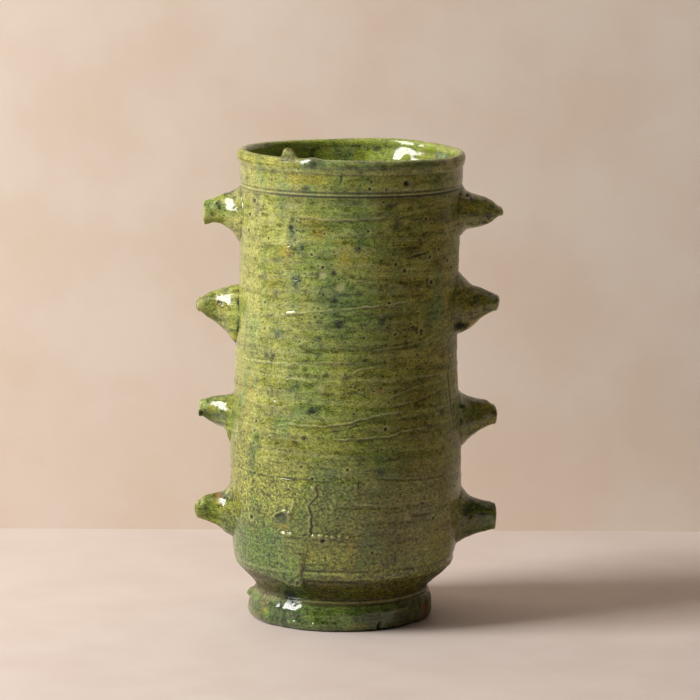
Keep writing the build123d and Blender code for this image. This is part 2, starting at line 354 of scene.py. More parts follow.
def upright_line(phi, z, line, ends=2.0):
    """Distance to the right of a line that runs up the vase, and how present the line is there."""
    distance = in_mm(from_angle(phi, smooth_curve(line, z)))
    low, high = line[0][0], line[-1][0]
    return distance, fade(z, low - ends, low + ends) * (1 - fade(z, high - ends, high + ends))


# Broad changes of colour, as (angle, strength) round the vase.
EMERALD_SIDE = [(-180, 0.3), (-100, 0.6), (-60, 1), (-30, 1), (-10, 0.15), (40, 0), (180, 0.3)]
BROWN_SIDE = [(-180, 0.4), (-110, 0.2), (-60, 0), (0, 0), (34, 0.7), (75, 0.7), (180, 0.4)]
GREY_SIDE = [(-180, 0.2), (-30, 0), (-12, 0.6), (40, 0.6), (70, 0.3), (180, 0.2)]
FOOT_DEPTH = [(-180, 0.7), (-100, 0.85), (-45, 0.85), (-15, 0.45), (15, 0.45), (45, 1.15), (180, 0.7)]

# The marks that the glaze is painted from: some belong to the skin, the rest to single pieces.
SKIN_MARKS = (
    "pale", "dark", "teal", "ochre", "green", "purple", "clay", "pool_and_shade", "umber", "deep", "matt", "low",
)
MARKS = SKIN_MARKS + ("inside", "crest", "hollow")


class Skin:
    """The outer face of the vase at some angles and heights: its relief, and marks for its colours."""

    def __init__(self, phi, z):
        self.phi, self.z = np.broadcast_arrays(phi, z)
        self.turn = from_angle(self.phi, 0)
        self.at = round_wall(self.phi, self.z)
        self.relief = np.zeros(self.phi.shape)
        self.marks = {kind: np.zeros(self.phi.shape) for kind in SKIN_MARKS}
        self.wobble = 1.2 * edges(self.at, 5) + 0.5 * edges(self.at, 1.9)
        self.wander = edges(self.at, 3.6)
        self.gaps = 0.75 + 0.45 * patches(self.at, 6)

    def mark(self, kind, strength, where=...):
        self.marks[kind][where] = np.maximum(self.marks[kind][where], strength)

    def near(self, height, reach):
        """Where the skin is near a height: a small mark isn't worked out anywhere else."""
        return np.nonzero(np.abs(self.z - height) < reach)

    def across(self, angle, where=...):
        """Distance along the wall to the right of an angle."""
        return in_mm(from_angle(self.phi[where], angle))

    def level(self, height, width):
        """A band round the vase."""
        return hump(self.z - height, width)

    def upright(self, angle, width):
        """A band up the vase."""
        return hump(self.across(angle), width)

    def throw(self):
        """Dents, the spiral of throwing rings, and fine lines dragged round by the potter's fingers."""
        spacing = 11.0
        body = fade(self.z, 30, 50) * (1 - 0.7 * fade(self.z, RIM_JOINT - 8, RIM_JOINT))
        drift = 5.0 * lumps(self.at, 60)
        spiral = np.sin(2 * pi * ((self.z + drift) / spacing - self.phi / (2 * pi)))
        uneven = 0.6 + 0.6 * patches(self.at, (30, 30, 25))
        self.relief += 0.30 * lumps(self.at, 55) + 0.14 * lumps(self.at, 17) + 0.05 * lumps(self.at, 3.2)
        self.relief += body * (0.13 * spiral * uneven + 0.07 * edges(self.at, (34, 34, 2.6)))
        self.relief += 0.06 * edges(self.at, (20, 20, 1.3))

    def finger_lines(self):
        reach = 12
        for height, width, line in RIDGES + MORE_RIDGES:
            band = self.near(line[1][1], reach)
            above, here = level_line(self.phi[band], self.z[band], line)
            here = here * self.gaps[band]
            above = above + 0.35 * self.wander[band]
            under = above + 2.2 * width
            # Painted highlight and shadow: the pale line on each ridge is thin glaze with a painted
            # highlight, strongest on the lit left; the dark below it is a painted shadow.
            lit = 1 - 0.55 * fade(self.turn[band], 5, 40)
            self.relief[band] += height * here * (hump(above, width) - 0.25 * hump(under, 1.6 * width))
            self.mark("pale", 1.9 * height * here * lit * hump(above, 0.8 * width), band)
            self.mark("pool_and_shade", 1.2 * height * here * hump(under, 1.4 * width), band)
        for depth, width, darkness, line in SCORES:
            band = self.near(line[1][1], reach)
            above, here = level_line(self.phi[band], self.z[band], line)
            score = here * self.gaps[band] * hump(above + 0.3 * self.wander[band], width)
            self.relief[band] -= depth * score
            self.mark("dark", darkness * score, band)
        for depth, width, darkness, line in SEAMS:
            right, here = upright_line(self.phi, self.z, line)
            right = right + 0.5 * self.wander
            seam = here * hump(right, width)
            self.relief += depth * (0.3 * here * hump(right + 2.5 * width, 2 * width) - seam)
            self.mark("dark", darkness * seam)

    def flap(self):
        """A flap of clay smeared down over the bowl, with a crack along its right edge."""
        right, here = upright_line(self.phi, self.z, FLAP)
        split = fade(self.z, 63, 65.5)
        right = right + 0.5 * edges(self.at, 2.2) + 1.6 * (1 - split) * edges(self.at, 8)
        blunt = 2.6 - 2.0 * split
        thick = (0.38 + 0.22 * split) * fade(-right, -blunt, blunt) * np.exp(np.minimum(right, 0) / 13)
        crack = hump(right - 0.2, 0.3 + 0.3 * fade(self.wander, -0.6, 0.8)) * here * split
        crack = crack * (0.55 + 0.45 * fade(-self.z, -84, -78))
        smear = hump(right - 0.4, 1.3) * here * (1 - fade(self.z, 46, 52))
        thread = hump(right - 0.3, 0.45) * here * fade(self.z, 39, 43) * (1 - fade(self.z, 54, 57))
        self.relief += thick * here - 0.4 * crack - 0.2 * smear
        self.relief += 0.7 * self.upright(-15.6, 1.6) * self.level(95, 1.6)
        self.mark("dark", 1.05 * crack)
        self.mark("dark", 0.8 * thread * fade(self.gaps, 0.2, 0.6))
        self.mark("pool_and_shade", 0.6 * smear * fade(self.gaps, 0.4, 0.9))
        # Painted highlight along the flap's raised edge, just left of the crack.
        self.mark("pale", 0.55 * hump(right + 1.1, 0.5) * here * split * fade(self.gaps, 0.6, 0.9))

    def ledge(self):
        """Thick glaze that stopped in a ledge across the flap, with drops hanging and runs below it."""
        for angle, wide, tall in DROPS:
            below = self.z - 64.4 - 0.3 * self.wander
            drop = np.exp(-(self.across(angle) / wide) ** 2 - (below / tall) ** 2)
            self.relief += 1.25 * drop
            # The pale on each drop is a painted highlight.
            self.mark("pale", 0.5 * drop)
        for angle in RUNS:
            run = hump(self.across(angle) + self.wobble, 2.2) * fade(self.z, 30, 44)
            self.relief += 0.2 * run * (1 - fade(self.z, 60, 64))
            self.mark("green", 0.5 * run * (1 - fade(self.z, 56, 63)))
        above, here = level_line(self.phi, self.z, LEDGE)
        above = above + 0.35 * edges(self.at, 3.5)
        step = fade(-above, -0.5, 0.6) * np.exp(np.minimum(above, 0) / 9)
        beads = fade(self.gaps + 0.2 * self.wander, 0.62, 0.9)
        self.relief += here * (0.45 * step + 0.4 * beads * hump(above + 0.6, 1.0))
        # Painted shadow under the ledge, between the beads.
        self.mark("pool_and_shade", 0.7 * here * hump(above + 2.1, 0.7) * (1 - beads))

    def blister(self):
        """A burst blister on the flap, with a raised rim, and a short ridge to its right."""
        across, up = self.across(-33), self.z - 74
        tilt = up - 0.18 * across + 0.7 * self.wobble
        inside = ((across + 0.5 * self.wobble) / 5.8) ** 2 + (tilt / 3.4) ** 2
        rim = np.exp(-((inside - 1) / 0.5) ** 2)
        beside = across - 7.5 - 0.25 * (up - 8)
        self.relief += rim * (0.2 + fade(up, -1, 2)) - 0.2 * np.exp(-inside ** 2)
        self.relief += 0.5 * hump(beside, 1.0) * hump(up - 7, 4.5)
        self.mark("teal", 0.9 * np.exp(-(inside / 0.9) ** 2))
        self.mark("dark", 0.45 * np.exp(-(inside / 0.8) ** 2) + 0.4 * rim * fade(-up, -1, 1))
        self.mark("ochre", 0.6 * hump(across - 1, 5) * hump(up + 6, 2.6) * fade(self.gaps, 0.5, 0.9))
        self.mark("pale", 0.6 * hump(beside, 0.6) * hump(up - 7, 4.5))

    def tiers(self):
        """Two ledges where the bowl meets the body, right of the flap, and brush marks on the bowl."""
        tiered = fade(self.turn + 2.5 * edges(self.at, 7), -23, -18) * (1 - fade(self.turn, 90, 120))
        front = 1 - fade(self.turn, 0, 20)
        level = self.z + 0.6 * lumps(self.at, 14) + 0.4 * edges(self.at, 5)
        broken = fade(self.gaps, 0.35, 0.85) * (0.25 + 0.75 * front)
        for height, depth in TIERS:
            self.relief -= 0.6 * depth * tiered * (0.35 + 0.65 * front) * hump(level - height, 1.1)
            self.mark("dark", 0.7 * tiered * hump(level - height, 0.7) * broken)
            self.mark("pale", 0.12 * tiered * front * hump(level - height + 1.8, 0.8))
        self.relief += 0.4 * tiered * hump(level - 38.2, 2.0)
        bowl = fade(self.z, 17, 20) * (1 - fade(self.z, 34, 38))
        slant = np.zeros(self.at.shape)
        slant[..., 2] = 0.5 * in_mm(self.turn)
        brushed = edges(self.at + slant, (20, 20, 2.2))
        self.relief += 0.15 * bowl * brushed
        self.mark("pool_and_shade", 0.3 * bowl * fade(brushed, 0, 0.6))
        self.mark("pool_and_shade", 0.7 * bowl * self.level(22.5, 2.6) * hump(from_angle(self.phi, -60), 34))

    def foot_marks(self):
        """Runs and drops of glaze on the foot, and chips in its edge."""
        low = 1 - fade(self.z, 16, 20)
        left = 1 - fade(self.turn, -45, -5)
        bead = hump(from_angle(self.phi, -30), 24) * fade(self.gaps + 0.3 * self.wander, 0.5, 0.9)
        self.relief += low * (0.45 * lumps(self.at, 14) + 0.2 * edges(self.at, 5))
        self.relief += (1 - left) * (0.4 * self.level(18.9, 0.9) - 0.8 * self.level(17.1, 0.9))
        self.relief += bead * (0.8 * self.level(5, 1.3) + 0.3 * self.level(17, 1.3))
        drop = (self.across(-87) / 2.4) ** 2 + ((self.z - 15.2) / 2.8) ** 2
        self.relief += 3.1 * np.exp(-drop ** 1.6)
        self.mark("teal", 0.8 * np.exp(-drop))
        aside = self.across(-37.5) + self.wobble
        run = hump(aside, 3.2 + 1.3 * self.level(22, 4)) * (1 - fade(self.z, 23.5, 26.5))
        blob = (aside / 4.2) ** 2 + ((self.z - 21.5) / 4) ** 2
        self.relief += 0.45 * run
        self.mark("dark", 0.45 * run)
        self.mark("dark", 1.1 * np.exp(-blob ** 3))
        # Painted contact shadow: the lowest two millimetres of the foot are darkened.
        self.mark("dark", 0.75 * (1 - fade(self.z + 0.3 * self.wander, 0.6, 1.8)))
        # Painted highlight along the ridge at the top of the foot.
        self.mark("pale", 0.5 * self.level(18.8, 0.5) * fade(self.turn, -30, -22))
        self.mark("pool_and_shade", (0.9 - 0.7 * left) * self.level(FOOT_JOINT, 0.8))
        for kind, angle, height, width, tall, depth in CHIPS:
            across = self.across(angle) + self.wobble
            chip = np.exp(-((across / width) ** 2 + ((self.z - height) / tall) ** 2) ** 1.5)
            self.relief -= depth * chip
            self.mark(kind, 1.2 * chip)

    def collar(self):
        """Dark glaze in the collar's two grooves, and pale glaze on the bead between them; the grooves carry
        painted shade, lighter on the lit left, and a painted highlight lies above them there.
        """
        # Painted shade in the grooves, weaker on the lit left; the pale line above them on the left is a
        # painted highlight.
        deep = 0.35 + 0.65 * fade(self.turn, -62, -30)
        for height, darkness in ((RIM_JOINT + 0.5, 1.1), (RIM_JOINT + 3, 0.75)):
            self.mark("dark", darkness * deep * self.level(height, 0.8))
        thin = 0.4 * (1 - deep) * self.level(RIM_JOINT + 4.6, 0.7)
        self.mark("pale", 0.55 * self.level(RIM_JOINT + 1.8, 0.6) + thin)
        self.mark("pool_and_shade", 0.55 * self.level(RIM_JOINT - 1.8, 1.7) * fade(self.turn, -48, -20) * self.gaps)

    def lip_marks(self):
        """The lip's teal edge, a chip and a notch in it, and a blob of glaze beside the nub."""
        edge = fade(self.z, CREST - 6, CREST - 4.6)
        edge = edge * fade(self.turn, -26, -20) * (1 - fade(self.turn, 38, 60))
        chip = hump(from_angle(self.phi, 62), 7.5) * fade(self.z, CREST - 9, CREST - 3)
        notch = hump(from_angle(self.phi, -170), 1.6) * fade(self.z, CREST - 8, CREST - 2)
        blob = hump(from_angle(self.phi, -20.5) + 0.8 * self.wobble, 4.6)
        blob = blob * fade(self.z, CREST - 6.5, CREST - 4.5)
        self.relief += 0.35 * lumps(self.at, 7) * fade(self.z, CREST - 9, CREST - 5)
        self.relief += 0.5 * blob - 1.3 * chip - 1.5 * notch
        self.mark("teal", 0.75 * edge * (0.8 + 0.3 * patches(self.at, 7)))
        self.mark("ochre", 0.6 * chip)
        self.mark("dark", 0.9 * notch)
        self.mark("dark", 0.75 * blob)

    def colours(self):
        """Blots of colour and pinholes."""
        for kind, angle, height, width, tall, strength in BLOTS + MORE_BLOTS:
            band = self.near(height, 2 * tall + 3)
            spread = self.wobble[band] * (0.35 if width < 2.5 else 1)
            across = self.across(angle, band) + spread
            blot = (across / width) ** 2 + ((self.z[band] - height + 0.6 * spread) / tall) ** 2
            self.mark(kind, strength * np.exp(-blot ** 1.4), band)
            if kind == "dark":
                self.relief[band] -= 0.2 * strength * np.exp(-blot)
        for angle, height, size in PINHOLES + MORE_PINHOLES:
            band = self.near(height, 4 * size)
            distance = np.hypot(self.across(angle, band), self.z[band] - height)
            hole, rim = hump(distance, 0.8 * size), hump(distance - 1.7 * size, 0.5 * size)
            self.relief[band] += 0.05 * rim - 0.75 * size * hump(distance, 0.7 * size)
            self.mark("dark", 1.4 * hole, band)
            self.mark("matt", hole, band)
            self.mark("pale", 0.22 * rim, band)

    def zones(self):
        """Broad changes in the glaze: emerald low on the left, brown on the right, thick on the foot, and
        painted shade on the bowl under the body's hem and under the ledges.
        """
        turn, z = self.turn, self.z
        drift = z + 8 * lumps(self.at, 30) + 2.5 * edges(self.at, 9)
        leaning = turn + 10 * patches(self.at, 30)
        emerald, brown, grey = (smooth_curve(side, leaning) for side in (EMERALD_SIDE, BROWN_SIDE, GREY_SIDE))
        brown = brown * (1 - 0.5 * fade(z, RIM_JOINT, RIM_JOINT + 4)) * fade(z, 30, 60)
        hem = smooth_curve(HEM, turn)
        foot_part = 1 - fade(z, 15.5, 17.5)
        cone = (1 - fade(z, hem - 4.5, hem - 0.5)) * (1 - foot_part)
        below = 1 - fade(drift, 55, 140)
        high = fade(z, 40, 70)
        front_right = 1 - fade(turn, 110, 150)
        left_lip = fade(z, CREST - 6.5, CREST - 5) * fade(turn, -95, -75) * (1 - fade(turn, -27, -25))

        self.mark("green", 0.9 * emerald * (1 - fade(drift, 58, 82)))
        self.mark("green", 0.55 * hump(leaning + 5, 24) * high * (0.7 + 0.5 * lumps(self.at, 24)))
        self.mark("green", foot_part * (0.75 - 0.45 * fade(leaning, 10, 50)))
        self.mark("umber", brown * (0.8 + 0.4 * edges(self.at, (20, 20, 5))))
        self.mark("umber", 0.75 * cone * fade(leaning, -40, -10))
        self.mark("umber", foot_part * fade(leaning, 15, 45))
        self.mark("umber", 0.5 * left_lip)
        self.mark("purple", 0.55 * grey * below * high)
        self.mark("purple", 0.9 * cone * (1 - fade(leaning, -50, -30)))
        self.mark("purple", 0.6 * left_lip * fade(z + edges(self.at, 4), CREST - 3.5, CREST - 1.5))
        self.mark("low", 0.85 * (1 - fade(drift, 85, 135)) * (1 - 0.7 * foot_part))

        left_wall = (1 - fade(leaning, -45, -20)) * (1 - fade(drift, 60, 170)) * high
        self.mark("deep", 0.45 * emerald * (1 - fade(drift, 60, 90)))
        self.mark("deep", 0.15 * hump(leaning - 5, 35) * high * (1 - fade(z, 185, 235)))
        self.mark("deep", (0.35 - 0.3 * fade(leaning, 15, 50)) * below + 0.3 * left_wall)
        # Painted shade: the bowl below the body's hem faces down, away from the light, and is darkened.
        self.mark("deep", cone * (0.4 + 0.5 * fade(leaning, -48, -26)))
        # Painted shade under the ledges right of the flap, down to the bowl.
        self.mark("deep", 0.7 * (1 - fade(z, 40, 43)) * fade(turn, -4, 14) * front_right)
        self.mark("deep", foot_part * (0.8 + 0.4 * patches(self.at, 8)) * smooth_curve(FOOT_DEPTH, leaning))

        self.mark("matt", brown * (0.5 + 0.45 * fade(z, 85, 130)))
        self.mark("matt", 0.8 * foot_part * fade(leaning, 30, 60) * front_right)
        self.mark("matt", 0.75 * cone)
        self.mark("matt", left_lip)

    def horn_roots(self):
        """Clay pushed up against each horn, and the crease that it leaves."""
        for horn in HORNS:
            top, bottom = horn.top[0][1], horn.bottom[0][1]
            middle, tall = (top + bottom) / 2, (top - bottom) / 2
            band = self.near(middle, tall + 12)
            turn = np.radians(from_angle(self.phi[band], horn.angle))
            facing = np.cos(turn) > 0
            round_it = np.hypot(belt.radius * np.sin(turn) / horn.root, (self.z[band] - middle) / tall)
            outside = (round_it - 1) * min(horn.root, tall) + 0.4 * self.wobble[band]
            crease = facing * hump(outside - 0.6, 0.6) * fade(self.gaps[band], 0.6, 1)
            self.relief[band] += facing * 0.5 * np.exp(-np.maximum(outside, 0) / 2) - 0.6 * crease
            self.mark("dark", 0.8 * horn.crack * crease, band)
            self.mark("pool_and_shade", 0.4 * crease, band)

    def outside(self):
        """The outer radius."""
        for layer in (self.throw, self.finger_lines, self.flap, self.ledge, self.blister, self.tiers,
                      self.foot_marks, self.collar, self.lip_marks, self.colours, self.zones,
                      self.horn_roots):
            layer()
        hem = smooth_curve(HEM, self.turn)
        shift = (38 - hem) * fade(self.z, 22, 32) * (1 - fade(self.z, 44, 60))
        return smooth_curve(OUTSIDE, self.z + shift) + self.relief

    def inside(self):
        """The inner radius: bolder throwing rings than outside."""
        spiral = np.sin(2 * pi * (self.z + 4 * lumps(self.at, 50)) / 9.5 + self.phi)
        chip = hump(from_angle(self.phi, 194), 7) * self.level(CREST - 3.4, 1)
        swell = hump(from_angle(self.phi, 152), 16) * (1 + 0.5 * edges(self.at, 9))
        swell = swell * self.level(CREST - 12, 6)
        self.relief += 0.35 * spiral * (0.6 + 0.5 * patches(self.at, 30)) * fade(-self.z, -290, -275)
        fine = 0.12 * edges(self.at, (25, 25, 2))
        self.relief += 0.6 * lumps(self.at, 24) + fine + 0.22 * lumps(self.at, 8)
        self.relief += 0.9 * chip - 1.4 * swell
        self.mark("dark", 0.7 * chip)
        self.mark("teal", 0.8 * fade(patches.rough(self.at, (26, 26, 34)), 0.15, 0.5))
        self.mark("ochre", 0.8 * fade(edges.rough(self.at, (18, 18, 26)), 0.1, 0.5))
        self.mark("dark", 0.8 * fade(lumps.rough(self.at, 9), 0.62, 0.8))
        return smooth_curve(INSIDE, self.z) + self.relief


def centre_x(z):
    return smooth_curve(CENTRES, z)


# How much higher the rim is than level, round the vase.
RIM_WARP = [(-180, 0.6), (-90, 1.1), (-40, 0.2), (0, -0.4), (62, -1.2), (90, -0.6), (180, 0.6)]


def lift(phi, z):
    """The rim isn't level: how much higher it is than the wheel left it."""
    warp = smooth_curve(RIM_WARP, from_angle(phi, 0))
    warp += 1.5 * hump(from_angle(phi, 156), 26) - 0.9 * hump(from_angle(phi, 62), 7)
    drop = 1.1 * hump(from_angle(phi, -20.5), 4.2) * fade(z, CREST - 3, CREST)
    return warp * fade(z, RIM_JOINT + 3, CREST) + drop

# ---- Meshes ------------------------------------------------------------------------------------------


def around(count, density=0.0):
    """Angles right round the vase in radians, from the back, closer together at the front."""
    turn = np.linspace(0, 2 * pi, count, endpoint=False) - pi
    return turn - density * np.sin(turn)


def unit(vectors):
    return vectors / np.maximum(np.linalg.norm(vectors, axis=-1, keepdims=True), 1e-9)


def hollows(points, ring):
    """How far each point lies below (+) or above (-) its neighbours, in millimetres."""
    reach = 2
    if ring:
        rows = np.concatenate([points[-reach:], points, points[:reach]])
    else:
        rows = np.pad(points, ((reach, reach), (0, 0), (0, 0)), mode="edge")
    above, below = rows[2 * reach:], rows[:-2 * reach]
    left, right = np.roll(points, reach, 1), np.roll(points, -reach, 1)
    normal = unit(np.cross(right - left, above - below))
    return np.sum(((above + below + left + right) / 4 - points) * normal, -1)


def outward(points):
    """The directions that rows of points face."""
    round_it = np.roll(points, -1, 1) - np.roll(points, 1, 1)
    return unit(np.cross(round_it, np.gradient(points, axis=0)))


def grid_piece(node, points, marks, material, ring=False):
    """A closed mesh from rows of points that run round it, shown in the place of a CAD node.

    With ring, the last row joins the first one.  Otherwise the first and the last row each close
    to a single point in their middle.
    """
    rows, columns = points.shape[:2]
    index = np.arange(rows * columns).reshape(rows, columns)
    lower = index if ring else index[:-1]
    upper = np.roll(index, -1, 0) if ring else index[1:]
    quads = np.stack([lower, np.roll(lower, -1, 1), np.roll(upper, -1, 1), upper], -1).reshape(-1, 4)
    faces = quads.tolist()
    vertices = points.reshape(-1, 3)
    if not ring:
        vertices = np.concatenate([vertices, [points[0].mean(0), points[-1].mean(0)]])
        first, last = rows * columns, rows * columns + 1
        faces += [(first, b, a) for a, b in zip(index[0], np.roll(index[0], -1))]
        faces += [(last, a, b) for a, b in zip(index[-1], np.roll(index[-1], -1))]
    mesh = bpy.data.meshes.new(node)
    mesh.from_pydata((vertices * MM).tolist(), [], faces)
    for kind in MARKS:
        values = np.clip(marks.get(kind, np.zeros((rows, columns))), 0, 1).ravel()
        values = np.concatenate([values, np.full(len(vertices) - rows * columns, values[-1])])
        mesh.attributes.new(kind, "FLOAT", "POINT").data.foreach_set("value", values.astype(np.float32))
    mesh.shade_smooth()
    mesh.set_sharp_from_angle(angle=radians(62))
    mesh.materials.append(material)
    piece = bpy.data.objects.new(node + "_glazed", mesh)
    bpy.context.scene.collection.objects.link(piece)
    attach(piece, "root")
    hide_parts(node)


class Outline:
    """The outline of a turned piece, as rows of points that it collects one after the other."""

    CREASE = 0.16                # a point this far below its neighbours is fully a hollow

    def __init__(self, columns=COLUMNS):
        self.phi = around(columns, FRONT_DENSITY)
        self.radius, self.height, self.marks = [], [], []

    def add(self, radius, height, skin=None, **extra):
        """Adds rows at these heights, with the marks of a skin and any others of their own."""
        shape = (len(height), len(self.phi))
        self.radius.append(np.broadcast_to(radius, shape))
        self.height.append(np.broadcast_to(np.reshape(height, (-1, 1)), shape))
        marks = dict.fromkeys(MARKS, 0.0) | (skin.marks if skin else {}) | extra
        self.marks.append({kind: np.broadcast_to(value, shape) for kind, value in marks.items()})
        return self

    def skin_rows(self, start, end, step):
        """Evenly spaced heights from start to end, or one where they are the same, and the skin there."""
        count = 1 if start == end else max(2, round(abs(end - start) / step) + 1)
        height = np.linspace(start, end, count)
        return height, Skin(self.phi[None, :], height[:, None])

    def outer(self, start, end, step=1, depth=0.0):
        """Rows on the outer skin, or a little under it."""
        height, skin = self.skin_rows(start, end, step)
        return self.add(skin.outside() - depth, height, skin)

    def inner(self, start, end, step=1, depth=0.0):
        height, skin = self.skin_rows(start, end, step)
        return self.add(skin.inside() + depth, height, skin, inside=1.0)

    def plain(self, *corners, **extra):
        """Rows at plain (radius, height) corners, where nothing is seen."""
        for radius, height in corners:
            self.add(radius, [height], **extra)
        return self

    def rolled_lip(self, rows=20):
        """Over the rim, from the outer to the inner skin."""
        outer = Skin(self.phi[None, :], np.full((rows, 1), LIP_HEIGHT))
        inner = Skin(self.phi[None, :], np.full((rows, 1), LIP_HEIGHT))
        outer_radius, inner_radius = outer.outside(), inner.inside()
        t = np.linspace(0, pi, rows + 2)[1:-1, None]
        roundness = 0.86
        middle, half = (outer_radius + inner_radius) / 2, (outer_radius - inner_radius) / 2
        radius = middle + half * np.sign(np.cos(t)) * np.abs(np.cos(t)) ** roundness
        height = LIP_HEIGHT + (CREST - LIP_HEIGHT) * np.sin(t) ** roundness
        within = t / pi
        outer.marks = {kind: value * (1 - 0.6 * within) for kind, value in outer.marks.items()}
        return self.add(radius, height, outer, inside=fade(within, 0.45, 0.8))

    def build(self, node, ring=True, slot="green_glaze", material=None):
        radius, z = np.concatenate(self.radius), np.concatenate(self.height)
        marks = {kind: np.concatenate([block[kind] for block in self.marks]) for kind in MARKS}
        x, y = centre_x(z) + radius * np.sin(self.phi), -radius * np.cos(self.phi)
        points = np.stack([x, y, z + lift(self.phi, z)], -1)
        depth = hollows(points, ring) / self.CREASE
        marks["crest"], marks["hollow"] = -depth, depth
        grid_piece(node, points, marks, material or glaze, ring)


class Lap:
    """A lapped joint at a height, with its step at a middle radius and a layer of slip in it."""

    def __init__(self, height, middle):
        self.height = height
        self.low, self.high = height - SLIP / 2, height + SLIP / 2
        self.inner_radius, self.outer_radius = middle - SLIP / 2, middle + SLIP / 2

    def close_top(self, outline):
        """The top of a piece under the joint, from the outer to the inner skin."""
        for height in (self.height, self.low):
            outline.outer(height, height, depth=GLAZE_COVER)
        outline.plain((self.inner_radius, self.low), (self.inner_radius, self.low + LAP))
        for height in (self.low + LAP, self.height + LAP):
            outline.inner(height, height, depth=GLAZE_COVER)

    def close_bottom(self, outline):
        """The bottom of a piece over the joint, from the inner to the outer skin."""
        for height in (self.height + LAP, self.high + LAP):
            outline.inner(height, height, depth=GLAZE_COVER)
        outline.plain((self.outer_radius, self.high + LAP), (self.outer_radius, self.high))
        for height in (self.high, self.height):
            outline.outer(height, height, depth=GLAZE_COVER)

    def slip(self, node):
        """The layer of slip in the joint."""
        low, high = self.low, self.high
        ring = Outline(SLIP_COLUMNS)
        ring.outer(low, high, SLIP, GLAZE_COVER)
        ring.plain((self.outer_radius, high), (self.outer_radius, high + LAP))
        ring.inner(high + LAP, low + LAP, SLIP, GLAZE_COVER)
        ring.plain((self.inner_radius, low + LAP), (self.inner_radius, low))
        ring.build(node, slot="luting_slip", material=slip_clay)


